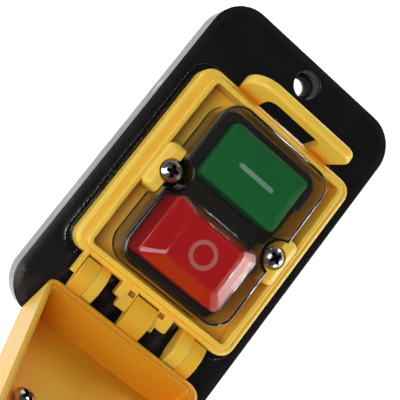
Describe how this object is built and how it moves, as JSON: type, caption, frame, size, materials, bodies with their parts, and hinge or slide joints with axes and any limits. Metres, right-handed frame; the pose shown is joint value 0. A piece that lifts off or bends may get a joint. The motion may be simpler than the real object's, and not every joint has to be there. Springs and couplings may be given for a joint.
{
  "type": "on-off push button switch",
  "caption": "Panel push button switch with green on key and raised red off key under a clear boot, in a yellow frame with a swing-down stop flap on a black box.",
  "frame": {"origin": "midway between the two mounting holes, on the plane of the box's open back", "axes": "+Z out of the front, +Y towards the green key and the bail, +X to the right seen from the front"},
  "size_m": [0.06, 0.1266, 0.0978],
  "materials": {
    "black_box": "satin",
    "black_body": "matte",
    "black_face": "gloss",
    "clear_boot": "gloss",
    "yellow_moulding": "satin",
    "nickel_screw": "polished",
    "pin_steel": "polished",
    "red_pad": "gloss",
    "green_key": "gloss",
    "red_key": "gloss",
    "pale_symbol": "matte",
    "spring_steel": "polished",
    "white_nylon": "satin",
    "contact_brass": "satin",
    "silver_contact": "satin",
    "copper_winding": "gloss",
    "magnet_steel": "satin"
  },
  "bodies": {
    "switch": {"base_box": "black_box", "membrane_boot": "clear_boot", "bezel_frame": "yellow_moulding", "bezel_screws": "nickel_screw", "hinge_pins": "pin_steel", "switch_face": "black_face", "switch_body": "black_body", "rear_cover": "black_body", "rear_cover_screws": "nickel_screw", "green_spring": "spring_steel", "red_spring": "spring_steel", "run_contacts": "silver_contact", "stop_contacts": "contact_brass", "blade_terminals": "contact_brass", "coil_bobbin": "white_nylon", "coil_winding": "copper_winding", "magnet_yoke": "magnet_steel"},
    "green_press": {"green_button": "green_key", "on_symbol": "pale_symbol", "contact_carrier": "white_nylon", "run_bridges": "contact_brass", "armature": "magnet_steel"},
    "red_press": {"red_button": "red_key", "off_symbol": "pale_symbol", "stop_slider": "white_nylon", "stop_bridge": "contact_brass"},
    "flap": {"stop_flap": "yellow_moulding", "stop_pad": "red_pad", "stop_pad_screws": "nickel_screw"}
  },
  "joints": [
    {"name": "flap_hinge", "type": "hinge", "parent": "switch", "child": "flap", "pos_m": [0, -0.0318, 0.0157], "axis": [-1, 0, 0], "range_deg": [0, 124.2]},
    {"name": "green_push", "type": "slide", "parent": "switch", "child": "green_press", "axis": [0, 0, -1], "range_m": [0, 0.004], "stiffness_N_per_m": 600, "springref_m": -0.003, "deforming": ["green_spring"]},
    {"name": "red_push", "type": "slide", "parent": "switch", "child": "red_press", "axis": [0, 0, -1], "range_m": [0, 0.004], "stiffness_N_per_m": 600, "springref_m": -0.003, "deforming": ["red_spring"]}
  ]
}
